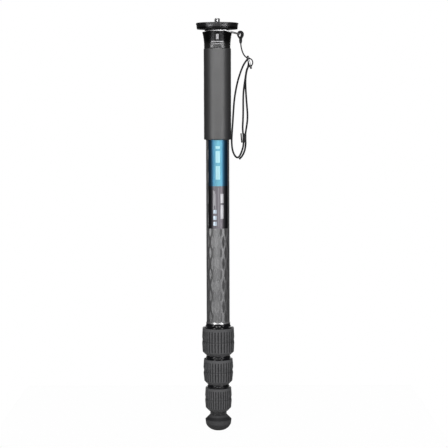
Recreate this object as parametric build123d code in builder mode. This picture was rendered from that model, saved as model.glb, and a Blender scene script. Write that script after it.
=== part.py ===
from build123d import *

import os
from dataclasses import dataclass
from math import atan, cos, degrees, pi, radians, sin, sqrt, tan

# Camera monopod: four carbon tubes that slide into each other, held by three twist locks,
# with a camera platform on top, a foam grip, a wrist strap on a wire ring and a rubber foot.
# Lengths are in millimetres. The origin is the middle of the platform's top face, +Z is up
# and the front, where the labels are, faces -Y. The monopod is folded to its shortest.

os.makedirs("parts", exist_ok=True)

# Fits
run_gap = 0.05  # radial play of pieces that turn or slide on each other
bond_gap = 0.02  # radial glue line
end_gap = 0.1  # play between end faces that move apart
cut_over = 1.0  # how far a cut runs past what it cuts
lock_travel = 0.5  # how far a lock's nut backs off when it is turned open
stop_gap = 0.5  # what stays free below an open lock
lock_space = lock_travel + stop_gap
half_turn = 180.0  # degrees

# Tubes
tube_1_d = 36.0
tube_wall = 1.5
shim_t = 0.43
tube_top_drop = 22.0  # from the platform's top face to the first tube's end
leg_top_drop = 85.0  # and to the second tube's end
leg_step = 15.0  # how much lower each next tube ends
shim_h = 40.0
shim_arc = 168.0  # degrees of each half shell
tube_step = 2 * (tube_wall + shim_t + run_gap + bond_gap)  # from one tube's diameter to the next
tube_2_d = tube_1_d - tube_step
tube_3_d = tube_2_d - tube_step
tube_4_d = tube_3_d - tube_step
peg_d = 5.0
peg_drop_share = 0.5  # of the shim's height

# Camera platform
platform_d = 65.8
platform_band_d = 64.6
platform_base_d = 63.4
platform_h = 9.4
platform_rim_h = 2.9
platform_edge = 0.5
flange_d = 16.0
flange_h = 2.4
socket_d = 24.0
socket_h = 5.0

# Camera stud, 3/8 inch on top and 1/4 inch below, so that it can be turned over
stud_d = 9.525
stud_h = 7.2
stud_tip = 0.8
stud_neck_d = 8.6
small_stud_d = 6.35
small_stud_h = 12.0

# Grub screws that grip the head on the platform
screw_d = 4.0
screw_h = 6.0
screw_reach = 26.5  # from the pole's axis
screw_sink = 1.0
screw_key_d = 2.3
screw_key_h = 2.0
screw_count = 3

# Top collar, with its diameters set from the first tube's
groove_h = 4.1
neck_under = 2.4
collar_top_over = 10.5
collar_mid_over = 6.5
collar_end_over = 5.1
neck_d = tube_1_d - neck_under
collar_top_d = tube_1_d + collar_top_over
collar_mid_d = tube_1_d + collar_mid_over
collar_end_d = tube_1_d + collar_end_over
collar_h = 24.8
collar_mid_share = 0.43  # of the collar's height
collar_edge = 0.5
stud_room_d = 8.0

# Strap ring, bent down where it leaves the groove
wire_d = 2.2
ring_over = 20.0  # how much wider than the neck, across the wire's middle
ring_gap = 0.7  # between the wire and the neck, opposite the strap
ring_d = neck_d + ring_over
ring_offset = (ring_d - wire_d - neck_d) / 2 - ring_gap  # from the pole's axis to its middle
ring_bend_x = 12.5
ring_droop = 14.2  # degrees
ring_lean = 1.8  # degrees, its far side higher
bend_swell = 0.02  # how much thicker the wire is where it is bent

# Foam grip and labels
foam_t = 3.2
foam_d = tube_1_d + 2 * foam_t
foam_h = 140.8
foam_edge = 1.6
label_t = 0.12
label_arc = 110.0  # degrees round the tube
label_turn = 2.5  # degrees towards +X
upper_label_h = 71.0
lower_label_h = 65.8
bare_tube_h = 146.8

# Twist locks
trim_over = 1.4  # on the first tube's diameter
trim_d = tube_1_d + trim_over
trim_h = 2.4
sleeve_wall = 2.0
sleeve_lip_h = 1.5
tube_seat = 0.5  # how far a tube's end stands off the lip below it
flange_edge = 1.9  # height of a sleeve's flange
nut_wall = 1.6
nut_lip_gap = 0.45  # radial room between a nut's lip and the tube in it
nut_lip_wall = 1.0
collet_h = 12.3
collet_head_h = 3.0
collet_head_inset = 0.6  # how much smaller than the thread a collet's head is
collet_tip_wall = 1.2
collet_slit = 1.2
collet_slits = 6
nut_floor_h = 3.6
wiper_h = 1.8
wiper_wall = 1.3
wiper_play = 0.1
lobe_high_share = 0.38
waist_share = 0.5
lobe_low_share = 0.635
groove_count = 32
groove_cut_d = 2.4
groove_depth = 0.8
groove_high_from_share = 0.1
groove_high_to_share = 0.43
groove_low_from_share = 0.56
groove_low_to_share = 0.85
grip_round = 1.6

# Lock 1: its heights, and what its diameters add to its tube's
lock_1_collar_h = 7.4
lock_1_rim_over = 1.5
lock_1_flange_over = 7.1
lock_1_top_over = 12.9
lock_1_lobe_over = 14.4
lock_1_waist_over = 13.2
lock_1_low_lobe_over = 14.5
lock_1_base_over = 12.9
lock_1_mouth_over = 5.6
lock_1_side_h = 37.9
lock_1_cone_h = 5.2

# Lock 2: its heights, and what its diameters add to its tube's
lock_2_collar_h = 5.4
lock_2_rim_over = 5.4
lock_2_flange_over = 8.4
lock_2_top_over = 12.9
lock_2_lobe_over = 14.8
lock_2_waist_over = 12.7
lock_2_low_lobe_over = 14.4
lock_2_base_over = 11.9
lock_2_mouth_over = 5.4
lock_2_side_h = 34.4
lock_2_cone_h = 5.3

# Lock 3: its heights, and what its diameters add to its tube's
lock_3_collar_h = 4.7
lock_3_rim_over = 5.3
lock_3_flange_over = 8.1
lock_3_top_over = 12.2
lock_3_lobe_over = 13.9
lock_3_waist_over = 12.6
lock_3_low_lobe_over = 13.9
lock_3_base_over = 11.9
lock_3_mouth_over = 5.6
lock_3_side_h = 31.6
lock_3_cone_h = 5.1

# Foot
plug_over = 1.9  # on the last tube's diameter
plug_d = tube_4_d + plug_over
plug_h = 5.3
plug_insert_h = 18.0
foot_stud_d = 9.525
foot_stud_up = 12.0
foot_stud_down = 9.0
foot_stud_tip = 0.6
insert_d = 16.0
insert_h = 11.0
foot_top_over = 0.9  # on the plug's diameter
foot_shoulder_over = 15.1
foot_side_over = 13.6
foot_top_d = plug_d + foot_top_over
foot_shoulder_d = plug_d + foot_shoulder_over
foot_side_d = plug_d + foot_side_over
foot_shoulder_h = 7.2
foot_side_h = 6.8
foot_dome_h = 10.8
foot_flat_d = 8.0  # what it stands on
foot_round = 4.0

# Wrist strap
web_d = 2.4  # the wrist loop's webbing, across its width
loop_d = 2.6  # the webbing that hangs on the ring
cord_d = 2.0
tab_width = 4.8
tab_depth = 3.2
tab_h = 8.6
tab_round = 0.8
bar_d = 2.6
ball_d = 3.4
wrap_d = 5.2
wrap_h = 2.6
arc_share = 0.45  # of the shorter run, for the arcs of every cord
slider_width = 6.2
slider_depth = 5.2
slider_h = 14.0
slider_round = 1.0
lever_t = 2.0
lever_h = 14.6
lever_depth = 4.4
lever_tilt = 5.0  # degrees
lever_round = 0.6

# Levels down the pole, each from the one above
under_z = -platform_h
collar_z = under_z - groove_h
foam_top_z = collar_z - collar_h
foam_end_z = foam_top_z - foam_h
upper_label_end_z = foam_end_z - upper_label_h
lower_label_end_z = upper_label_end_z - lower_label_h
trim_z = lower_label_end_z - bare_tube_h


@dataclass
class Lock:
    """One twist lock: the sizes the photograph shows and what follows from its two tubes."""

    name: str
    sleeve_z: float
    upper_d: float
    lower_d: float
    collar_h: float
    rim_over: float
    flange_over: float
    top_over: float
    lobe_over: float
    waist_over: float
    low_lobe_over: float
    base_over: float
    mouth_over: float
    side_h: float
    cone_h: float

    def __post_init__(self):
        self.rim_d = self.upper_d + self.rim_over
        self.flange_d = self.upper_d + self.flange_over
        self.top_d = self.upper_d + self.top_over
        self.lobe_d = self.upper_d + self.lobe_over
        self.waist_d = self.upper_d + self.waist_over
        self.low_lobe_d = self.upper_d + self.low_lobe_over
        self.base_d = self.upper_d + self.base_over
        self.mouth_d = self.lower_d + self.mouth_over
        self.top_z = self.sleeve_z - self.collar_h
        self.base_z = self.top_z - self.side_h
        self.bottom_z = self.base_z - self.cone_h
        self.collet_end_z = self.bottom_z + nut_floor_h
        self.collet_top_z = self.collet_end_z + collet_h
        self.sleeve_end_z = self.collet_top_z + end_gap
        self.tube_end_z = self.sleeve_end_z + sleeve_lip_h + tube_seat
        self.bore_r = self.upper_d / 2 + bond_gap
        self.lip_r = self.upper_d / 2 - tube_wall
        self.thread_r = self.bore_r + sleeve_wall
        self.nut_r = self.thread_r + run_gap + nut_wall
        self.leg_r = self.lower_d / 2
        self.collet_r = self.leg_r + run_gap
        self.head_r = self.thread_r - collet_head_inset
        self.tip_r = self.collet_r + collet_tip_wall
        self.mouth_r = self.leg_r + nut_lip_gap
        self.nut_end_r = self.mouth_r + nut_lip_wall


lock_1 = Lock(
    "lock_1", trim_z - trim_h, tube_1_d, tube_2_d, lock_1_collar_h, lock_1_rim_over,
    lock_1_flange_over, lock_1_top_over, lock_1_lobe_over, lock_1_waist_over, lock_1_low_lobe_over,
    lock_1_base_over, lock_1_mouth_over, lock_1_side_h, lock_1_cone_h,
)
lock_2 = Lock(
    "lock_2", lock_1.bottom_z - lock_space, tube_2_d, tube_3_d, lock_2_collar_h, lock_2_rim_over,
    lock_2_flange_over, lock_2_top_over, lock_2_lobe_over, lock_2_waist_over, lock_2_low_lobe_over,
    lock_2_base_over, lock_2_mouth_over, lock_2_side_h, lock_2_cone_h,
)
lock_3 = Lock(
    "lock_3", lock_2.bottom_z - lock_space, tube_3_d, tube_4_d, lock_3_collar_h, lock_3_rim_over,
    lock_3_flange_over, lock_3_top_over, lock_3_lobe_over, lock_3_waist_over, lock_3_low_lobe_over,
    lock_3_base_over, lock_3_mouth_over, lock_3_side_h, lock_3_cone_h,
)
locks = [lock_1, lock_2, lock_3]

plug_z = lock_3.bottom_z - lock_space
foot_z = plug_z - plug_h
foot_edge_z = foot_z - foot_shoulder_h
foot_base_z = foot_edge_z - foot_side_h
foot_tip_z = foot_base_z - foot_dome_h


def keep(part, name):
    """Names a finished piece and writes its file."""
    part.label = name
    export_step(part, f"parts/{name}.step")


def half_plane(turn):
    """The upright plane through the pole's axis whose x points at that angle round it."""
    way = radians(turn)
    return Plane(origin=(0, 0, 0), x_dir=(cos(way), sin(way), 0), z_dir=(sin(way), -cos(way), 0))


# Camera platform: a turned aluminium disc with a rim, a bore for the stud, a pocket below
# for the stud's flange, a socket for the collar's spigot and three holes for grub screws
socket_top_z = under_z + socket_h
flange_top_z = socket_top_z + flange_h
with BuildPart() as camera_platform:
    with BuildSketch(Plane.XZ):
        with BuildLine():
            Polyline(
                (stud_d / 2 + run_gap, 0),
                (platform_d / 2 - platform_edge, 0),
                (platform_d / 2, -platform_edge),
                (platform_d / 2, -platform_rim_h + platform_edge),
                (platform_band_d / 2, -platform_rim_h),
                (platform_base_d / 2, under_z + platform_edge),
                (platform_base_d / 2 - platform_edge, under_z),
                (socket_d / 2 + bond_gap, under_z),
                (socket_d / 2 + bond_gap, socket_top_z),
                (flange_d / 2 + bond_gap, socket_top_z),
                (flange_d / 2 + bond_gap, flange_top_z),
                (stud_d / 2 + run_gap, flange_top_z),
                close=True,
            )
        make_face()
    revolve(axis=Axis.Z)
    with PolarLocations(screw_reach, screw_count, start_angle=90):
        Cylinder(
            screw_d / 2 + bond_gap, platform_h + cut_over,
            align=(Align.CENTER, Align.CENTER, Align.MAX), mode=Mode.SUBTRACT,
        )
keep(camera_platform.part, "camera_platform")

# Camera stud: both threads on one piece, with a flange that the platform and collar hold
with BuildPart() as camera_stud:
    with BuildSketch(Plane.XZ):
        with BuildLine():
            Polyline(
                (0, stud_h),
                (stud_d / 2 - stud_tip, stud_h),
                (stud_d / 2, stud_h - stud_tip),
                (stud_d / 2, 0),
                (stud_neck_d / 2, 0),
                (stud_neck_d / 2, flange_top_z),
                (flange_d / 2, flange_top_z),
                (flange_d / 2, socket_top_z),
                (small_stud_d / 2, socket_top_z),
                (small_stud_d / 2, socket_top_z - small_stud_h),
                (0, socket_top_z - small_stud_h),
                close=True,
            )
        make_face()
    revolve(axis=Axis.Z)
keep(camera_stud.part, "camera_stud")

# Grub screws, each with a hexagon for its key, sunk into the platform's underside
with BuildPart() as platform_screws:
    with PolarLocations(screw_reach, screw_count, start_angle=90):
        with Locations((0, 0, under_z + screw_sink)):
            Cylinder(screw_d / 2, screw_h, align=(Align.CENTER, Align.CENTER, Align.MIN))
            Cylinder(
                screw_key_d / 2, screw_key_h,
                align=(Align.CENTER, Align.CENTER, Align.MIN), mode=Mode.SUBTRACT,
            )
keep(platform_screws.part, "platform_screws")

# Top collar: neck, flared skirt, a spigot in the platform and a bore that holds the tube
with BuildPart() as top_collar:
    with BuildSketch(Plane.XZ):
        with BuildLine():
            Polyline(
                (collar_end_d / 2, foam_top_z),
                (tube_1_d / 2 + bond_gap, foam_top_z),
                (tube_1_d / 2 + bond_gap, -tube_top_drop),
                (stud_room_d / 2, -tube_top_drop),
                (stud_room_d / 2, socket_top_z),
                (socket_d / 2, socket_top_z),
                (socket_d / 2, under_z),
                (neck_d / 2, under_z),
                (neck_d / 2, collar_z),
                (collar_top_d / 2 - collar_edge, collar_z),
                (collar_top_d / 2, collar_z - collar_edge),
            )
            ThreePointArc(
                (collar_top_d / 2, collar_z - collar_edge),
                (collar_mid_d / 2, collar_z - collar_mid_share * collar_h),
                (collar_end_d / 2, foam_top_z),
            )
        make_face()
    revolve(axis=Axis.Z)
keep(top_collar.part, "top_collar")

# Strap ring: one round wire, flat in the groove and bent down outside the platform
ring_z = (under_z + collar_z) / 2
bend_reach = ring_bend_x - ring_offset
bend_half = degrees(atan(sqrt((ring_d / 2) ** 2 - bend_reach**2) / bend_reach))
bend_plane = Plane(origin=(ring_bend_x, 0, ring_z))
flat_plane = bend_plane.rotated((ring_lean, 0, 0))
droop_plane = bend_plane.rotated((ring_lean, ring_droop, 0))
with BuildLine(flat_plane) as flat_arc:
    CenterArc((-bend_reach, 0), ring_d / 2, bend_half, half_turn - bend_half)
    CenterArc((-bend_reach, 0), ring_d / 2, half_turn, half_turn - bend_half)
with BuildLine(droop_plane) as droop_arc:
    CenterArc((-bend_reach, 0), ring_d / 2, -bend_half, 2 * bend_half)
flat_wire = flat_arc.wire()
droop_wire = droop_arc.wire()
with BuildPart() as strap_ring:
    with BuildSketch(Plane(origin=flat_wire @ 0, z_dir=flat_wire % 0)):
        Circle(wire_d / 2)
    sweep(path=flat_wire)
    with Locations(flat_wire @ 0, flat_wire @ 1):
        Sphere(wire_d / 2 + bend_swell)
    with BuildSketch(Plane(origin=droop_wire @ 0, z_dir=droop_wire % 0)):
        Circle(wire_d / 2)
    sweep(path=droop_wire)
keep(strap_ring.part, "strap_ring")

# Foam grip: a soft tube pulled over the first carbon tube, with rounded ends
with BuildPart() as foam_grip:
    with BuildSketch(Plane.XZ):
        with Locations((tube_1_d / 2 + bond_gap, foam_top_z)):
            Rectangle(
                (foam_d - tube_1_d) / 2 - bond_gap, foam_h, align=(Align.MIN, Align.MAX)
            )
        fillet(vertices().group_by(Axis.X)[-1], foam_edge)
    revolve(axis=Axis.Z)
keep(foam_grip.part, "foam_grip")

# Labels: two thin skins one above the other on the front of the first tube
labels = [
    ("label_upper", foam_end_z, upper_label_h),
    ("label_lower", upper_label_end_z, lower_label_h),
]
for label_name, label_z, label_h in labels:
    with BuildPart() as label:
        with BuildSketch(half_plane(label_turn - label_arc / 2 - half_turn / 2)):
            with Locations((tube_1_d / 2 + bond_gap, label_z)):
                Rectangle(label_t, label_h, align=(Align.MIN, Align.MAX))
        revolve(axis=Axis.Z, revolution_arc=label_arc)
    keep(label.part, label_name)


# Carbon tubes, with the holes for the shims' pegs in the three that slide
def carbon_tube(outer_d, top_z, end_z, pegs):
    with BuildPart() as tube:
        with Locations((0, 0, end_z)):
            Cylinder(outer_d / 2, top_z - end_z, align=(Align.CENTER, Align.CENTER, Align.MIN))
            Cylinder(
                outer_d / 2 - tube_wall, top_z - end_z,
                align=(Align.CENTER, Align.CENTER, Align.MIN), mode=Mode.SUBTRACT,
            )
        if pegs:
            with Locations((0, 0, top_z - peg_drop_share * shim_h)):
                Cylinder(
                    peg_d / 2 + bond_gap, outer_d + cut_over,
                    rotation=(0, 90, 0), mode=Mode.SUBTRACT,
                )
    return tube.part


leg_tops = [-tube_top_drop] + [-leg_top_drop - n * leg_step for n in range(3)]
tube_ends = [lock.tube_end_z for lock in locks] + [plug_z]
tube_sizes = [tube_1_d, tube_2_d, tube_3_d, tube_4_d]
for n, (size, top_z, end_z) in enumerate(zip(tube_sizes, leg_tops, tube_ends), 1):
    keep(carbon_tube(size, top_z, end_z, n > 1), f"tube_{n}")


# Shims: two half shells at the top of each sliding tube, which guide it in the tube round
# it and stop it at the lock; a peg on each goes through the tube's wall
def shim_pair(outer_tube_d, inner_tube_d, top_z):
    shim_r = outer_tube_d / 2 - tube_wall - run_gap
    with BuildPart() as shims:
        for turn in (0, half_turn):
            with BuildSketch(half_plane(turn - shim_arc / 2)):
                with Locations((inner_tube_d / 2 + bond_gap, top_z)):
                    Rectangle(
                        shim_r - inner_tube_d / 2 - bond_gap, shim_h,
                        align=(Align.MIN, Align.MAX),
                    )
            revolve(axis=Axis.Z, revolution_arc=shim_arc)
        with PolarLocations(inner_tube_d / 2 - tube_wall / 2, 2):
            with Locations((0, 0, top_z - peg_drop_share * shim_h)):
                Cylinder(peg_d / 2, tube_wall + 2 * bond_gap, rotation=(0, 90, 0))
    return shims.part


for n in range(3):
    keep(shim_pair(tube_sizes[n], tube_sizes[n + 1], leg_tops[n + 1]), f"shims_{n + 2}")

# Trim: a polished ring on top of the first lock's sleeve
with BuildPart() as lock_1_trim:
    with BuildSketch(Plane.XZ):
        with Locations((tube_1_d / 2 + bond_gap, trim_z)):
            Rectangle((trim_d - tube_1_d) / 2 - bond_gap, trim_h, align=(Align.MIN, Align.MAX))
    revolve(axis=Axis.Z)
keep(lock_1_trim.part, "lock_1_trim")


# Lock sleeve: glued round the upper tube's end, with a flared collar above, a thread for
# the nut and a lip below the tube
def lock_sleeve(lock):
    flange_z = lock.top_z + end_gap
    with BuildPart() as sleeve:
        with BuildSketch(Plane.XZ):
            with BuildLine():
                Polyline(
                    (lock.flange_d / 2, flange_z + flange_edge),
                    (lock.flange_d / 2, flange_z),
                    (lock.thread_r, flange_z),
                    (lock.thread_r, lock.sleeve_end_z),
                    (lock.lip_r, lock.sleeve_end_z),
                    (lock.lip_r, lock.sleeve_end_z + sleeve_lip_h),
                    (lock.bore_r, lock.sleeve_end_z + sleeve_lip_h),
                    (lock.bore_r, lock.sleeve_z),
                    (lock.rim_d / 2, lock.sleeve_z),
                )
                Bezier(
                    (lock.rim_d / 2, lock.sleeve_z),
                    (lock.rim_d / 2, flange_z + flange_edge),
                    (lock.flange_d / 2, flange_z + flange_edge),
                )
            make_face()
        revolve(axis=Axis.Z)
    return sleeve.part


# Lock nut: screws on the sleeve and squeezes the collet on the tube below
def lock_nut(lock):
    wiper_z = lock.bottom_z + (nut_floor_h - wiper_h) / 2
    wiper_r = lock.leg_r + wiper_play + wiper_wall + run_gap
    chamber_r = lock.head_r + run_gap
    with BuildPart() as nut:
        with BuildSketch(Plane.XZ):
            with BuildLine():
                Polyline(
                    (lock.thread_r + run_gap, lock.top_z),
                    (lock.nut_r, lock.top_z),
                    (lock.nut_r, lock.base_z),
                    (lock.nut_end_r, lock.bottom_z),
                    (lock.mouth_r, lock.bottom_z),
                    (lock.mouth_r, wiper_z),
                    (wiper_r, wiper_z),
                    (wiper_r, wiper_z + wiper_h + run_gap),
                    (lock.mouth_r, wiper_z + wiper_h + run_gap),
                    (lock.mouth_r, lock.collet_end_z - run_gap),
                    (lock.tip_r + run_gap, lock.collet_end_z - run_gap),
                    (chamber_r, lock.collet_top_z - collet_head_h),
                    (chamber_r, lock.collet_top_z),
                    (lock.thread_r + run_gap, lock.collet_top_z),
                    close=True,
                )
            make_face()
        revolve(axis=Axis.Z)
    return nut.part


# Rubber grip: moulded round the nut, two swelling bands with a waist between them, a row
# of short grooves in each band and a rounded foot that closes over the nut's cone
def lock_grip(lock):
    inner_r = lock.nut_r + bond_gap
    high_z = lock.top_z - lobe_high_share * lock.side_h
    waist_z = lock.top_z - waist_share * lock.side_h
    low_z = lock.top_z - lobe_low_share * lock.side_h
    whole_h = lock.side_h + lock.cone_h
    rows = [
        (lock.lobe_d, groove_high_from_share, groove_high_to_share),
        (lock.low_lobe_d, groove_low_from_share, groove_low_to_share),
    ]
    with BuildPart() as grip:
        with BuildSketch(Plane.XZ):
            with BuildLine():
                Polyline(
                    (lock.top_d / 2, lock.top_z),
                    (inner_r, lock.top_z),
                    (inner_r, lock.base_z - bond_gap),
                    (lock.nut_end_r + bond_gap, lock.bottom_z),
                    (lock.mouth_d / 2, lock.bottom_z),
                    (lock.base_d / 2, lock.base_z),
                    (lock.low_lobe_d / 2, low_z),
                    (lock.waist_d / 2, waist_z),
                    (lock.lobe_d / 2, high_z),
                    close=True,
                )
            make_face()
            round_at = [high_z, low_z, lock.base_z]
            outer = vertices().filter_by(lambda v: v.X > inner_r + bond_gap)
            fillet(outer.filter_by(lambda v: min(abs(v.Y - z) for z in round_at) < bond_gap), grip_round)
        revolve(axis=Axis.Z)
        for row_d, from_share, to_share in rows:
            row_r = row_d / 2 - groove_depth + groove_cut_d / 2
            with Locations((0, 0, lock.top_z - to_share * whole_h)):
                with PolarLocations(row_r, groove_count, start_angle=-90):
                    Cylinder(
                        groove_cut_d / 2, (to_share - from_share) * whole_h,
                        align=(Align.CENTER, Align.CENTER, Align.MIN), mode=Mode.SUBTRACT,
                    )
    return grip.part


# Collet: a split cone that the nut closes on the tube; one slit goes right through and
# the others stop at its head
def lock_collet(lock):
    with BuildPart() as collet:
        with BuildSketch(Plane.XZ):
            with BuildLine():
                Polyline(
                    (lock.collet_r, lock.collet_top_z),
                    (lock.head_r, lock.collet_top_z),
                    (lock.head_r, lock.collet_top_z - collet_head_h),
                    (lock.tip_r, lock.collet_end_z),
                    (lock.collet_r, lock.collet_end_z),
                    close=True,
                )
            make_face()
        revolve(axis=Axis.Z)
        with Locations((0, 0, lock.collet_end_z)):
            with PolarLocations(lock.collet_r, collet_slits):
                Box(
                    collet_h, collet_slit, collet_h - collet_head_h,
                    align=(Align.CENTER, Align.CENTER, Align.MIN), mode=Mode.SUBTRACT,
                )
            with PolarLocations(lock.collet_r, 1):
                Box(
                    collet_h, collet_slit, collet_h,
                    align=(Align.CENTER, Align.CENTER, Align.MIN), mode=Mode.SUBTRACT,
                )
    return collet.part


# Wiper: a felt ring in the nut's mouth that keeps dirt out of the lock
def lock_wiper(lock):
    wiper_z = lock.bottom_z + (nut_floor_h - wiper_h) / 2
    wiper_r = lock.leg_r + wiper_play
    with BuildPart() as wiper:
        with Locations((0, 0, wiper_z)):
            Cylinder(
                wiper_r + wiper_wall, wiper_h, align=(Align.CENTER, Align.CENTER, Align.MIN)
            )
            Cylinder(
                wiper_r, wiper_h,
                align=(Align.CENTER, Align.CENTER, Align.MIN), mode=Mode.SUBTRACT,
            )
    return wiper.part


for lock in locks:
    keep(lock_sleeve(lock), f"{lock.name}_sleeve")
    keep(lock_nut(lock), f"{lock.name}_nut")
    keep(lock_grip(lock), f"{lock.name}_grip")
    keep(lock_collet(lock), f"{lock.name}_collet")
    keep(lock_wiper(lock), f"{lock.name}_wiper")

# Foot plug: glued in the last tube's end, threaded for the foot's stud
with BuildPart() as foot_plug:
    with BuildSketch(Plane.XZ):
        with BuildLine():
            Polyline(
                (foot_stud_d / 2 + bond_gap, foot_z),
                (plug_d / 2, foot_z),
                (plug_d / 2, plug_z),
                (tube_4_d / 2 - tube_wall - bond_gap, plug_z),
                (tube_4_d / 2 - tube_wall - bond_gap, plug_z + plug_insert_h),
                (0, plug_z + plug_insert_h),
                (0, foot_z + foot_stud_up),
                (foot_stud_d / 2 + bond_gap, foot_z + foot_stud_up),
                close=True,
            )
        make_face()
    revolve(axis=Axis.Z)
keep(foot_plug.part, "foot_plug")

# Foot stud: joins the plug and the insert in the rubber foot
with BuildPart() as foot_stud:
    with Locations((0, 0, foot_z + foot_stud_up)):
        Cylinder(
            foot_stud_d / 2, foot_stud_up + foot_stud_down,
            align=(Align.CENTER, Align.CENTER, Align.MAX),
        )
    chamfer(edges().filter_by(GeomType.CIRCLE), foot_stud_tip)
keep(foot_stud.part, "foot_stud")

# Foot insert: a metal cup moulded into the rubber
with BuildPart() as foot_insert:
    with Locations((0, 0, foot_z)):
        Cylinder(insert_d / 2, insert_h, align=(Align.CENTER, Align.CENTER, Align.MAX))
        Cylinder(
            foot_stud_d / 2 + bond_gap, foot_stud_down,
            align=(Align.CENTER, Align.CENTER, Align.MAX), mode=Mode.SUBTRACT,
        )
keep(foot_insert.part, "foot_insert")

# Rubber foot: a sloping shoulder, a short side and a dome with a small flat to stand on
with BuildPart() as rubber_foot:
    with BuildSketch(Plane.XZ):
        with BuildLine():
            Polyline(
                (foot_flat_d / 2, foot_tip_z),
                (0, foot_tip_z),
                (0, foot_z - insert_h - bond_gap),
                (insert_d / 2 + bond_gap, foot_z - insert_h - bond_gap),
                (insert_d / 2 + bond_gap, foot_z),
                (foot_top_d / 2, foot_z),
                (foot_shoulder_d / 2, foot_edge_z),
                (foot_side_d / 2, foot_base_z),
            )
            TangentArc(
                (foot_flat_d / 2, foot_tip_z), (foot_side_d / 2, foot_base_z), tangent=(1, 0)
            )
        make_face()
        fillet(vertices().filter_by_position(Axis.Y, foot_base_z, foot_base_z), foot_round)
    revolve(axis=Axis.Z)
keep(rubber_foot.part, "rubber_foot")

# Wrist strap. Its routes are lists of points chosen by hand, as it hangs beside the grip.
link_route = [
    (46.9, 0.0, -51.5),
    (51.8, 0.0, -68.6),
]
ring_loop_route = [
    (34.8, 0.0, -23.4),
    (33.0, 0.0, -21.1),
    (31.6, 0.0, -18.2),
    (32.0, 0.0, -15.0),
    (34.2, 0.0, -13.0),
    (37.3, 0.0, -13.1),
    (39.4, 0.0, -15.4),
    (39.5, 0.0, -18.5),
    (38.4, 0.0, -21.2),
    (36.9, 0.0, -23.4),
]
upper_cord_route = [
    (36.0, 0.0, -30.1),
    (36.2, 0.1, -32.9),
    (36.7, 0.2, -36.8),
    (37.7, 0.2, -41.0),
    (39.1, 0.2, -45.1),
    (40.9, 0.1, -48.7),
    (43.1, 0.0, -51.3),
    (45.1, 0.0, -52.9),
]
wrist_route = [
    (46.0, 0.0, -55.6),
    (43.9, -0.6, -58.4),
    (41.0, -1.6, -62.8),
    (38.3, -2.5, -68.2),
    (35.2, -4.1, -76.4),
    (31.7, -5.8, -87.1),
    (28.5, -7.6, -101.1),
    (25.8, -8.8, -117.6),
    (24.5, -9.6, -135.1),
    (23.5, -10.0, -151.7),
    (22.3, -10.1, -167.4),
    (21.6, -10.0, -180.1),
    (22.1, -9.7, -190.4),
    (23.7, -9.2, -197.8),
    (26.2, -8.4, -203.1),
    (29.2, -7.5, -206.5),
    (32.4, -6.5, -206.3),
    (35.1, -5.5, -202.3),
    (37.4, -4.4, -196.8),
    (39.2, -3.3, -191.1),
    (40.1, -2.4, -185.8),
    (40.1, -2.0, -182.1),
]
tail_route = [
    (43.4, -2.0, -182.1),
    (43.4, -2.4, -185.8),
    (42.9, -3.2, -190.7),
    (41.8, -4.1, -195.8),
    (39.7, -5.1, -201.1),
    (36.7, -6.1, -205.9),
    (33.5, -7.1, -209.0),
]
middle_route = [
    (39.5, -2.0, -170.7),
    (39.0, -2.1, -165.9),
    (38.7, -2.0, -159.0),
    (39.3, -1.9, -149.3),
    (39.7, -1.8, -135.1),
    (39.6, -1.7, -119.5),
    (40.0, -1.6, -105.9),
    (41.5, -1.6, -93.8),
    (43.1, -1.7, -83.6),
    (44.3, -1.7, -75.9),
    (45.3, -1.4, -71.3),
    (46.7, -0.9, -68.2),
    (48.7, -0.3, -65.9),
]
right_route = [
    (43.1, -2.0, -170.7),
    (43.7, -1.8, -165.6),
    (45.0, -1.2, -158.1),
    (46.2, -0.4, -149.3),
    (46.4, 0.3, -140.5),
    (45.8, 0.9, -131.2),
    (44.8, 1.3, -119.5),
    (43.9, 1.6, -105.9),
    (43.3, 1.7, -93.8),
    (43.5, 1.8, -83.6),
    (44.5, 1.9, -76.4),
    (45.8, 2.6, -71.1),
    (47.3, 3.5, -67.0),
    (48.1, 3.8, -63.4),
    (48.1, 3.9, -59.7),
    (47.8, 3.4, -56.9),
    (47.8, 2.2, -55.0),
]
side_loop_route = [
    (49.8, 0.0, -54.1),
    (52.2, 0.2, -55.1),
    (54.0, 0.3, -57.4),
    (54.6, 0.3, -60.3),
    (54.2, 0.2, -63.0),
    (52.8, 0.0, -64.9),
]


def cord(name, route, size):
    """A round cord along the route: straight runs joined by arcs as large as they allow."""
    points = [Vector(*place) for place in route]
    runs = [b - a for a, b in zip(points, points[1:])]
    radii = [
        arc_share * min(a.length, b.length) / tan(radians(a.get_angle(b)) / 2)
        for a, b in zip(runs, runs[1:])
    ]
    with BuildLine() as path:
        FilletPolyline(*points, radius=radii)
    with BuildPart() as tube:
        with BuildSketch(Plane(origin=path.line @ 0, z_dir=path.line % 0)):
            Circle(size / 2)
        sweep(path=path.line)
    whole = pi * (size / 2) ** 2 * path.wire().length
    print(
        f"{name}: {path.wire().length:.1f} long, volume {tube.part.volume / whole:.4f} of its"
        f" section times its length, radii {[round(r, 1) for r in radii]}"
    )
    keep(tube.part, name)


cord("strap_ring_loop", ring_loop_route, loop_d)
cord("strap_cord", upper_cord_route, cord_d)
cord("wrist_loop", wrist_route, web_d)
cord("wrist_tail", tail_route, web_d)
cord("wrist_middle", middle_route, web_d)
cord("wrist_right", right_route, web_d)
cord("link_side_loop", side_loop_route, web_d)


def between(*places):
    """The middle of some places on the routes."""
    return sum((Vector(*place) for place in places), Vector()) * (1 / len(places))


# Stitched tab that closes the webbing round the ring and holds the thin cord
loop_foot = between(ring_loop_route[0], ring_loop_route[-1])
with BuildPart() as strap_tab:
    with Locations(between(loop_foot, upper_cord_route[0])):
        Box(tab_width, tab_depth, tab_h)
    fillet(edges().filter_by(Axis.Z), tab_round)
keep(strap_tab.part, "strap_tab")

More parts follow.
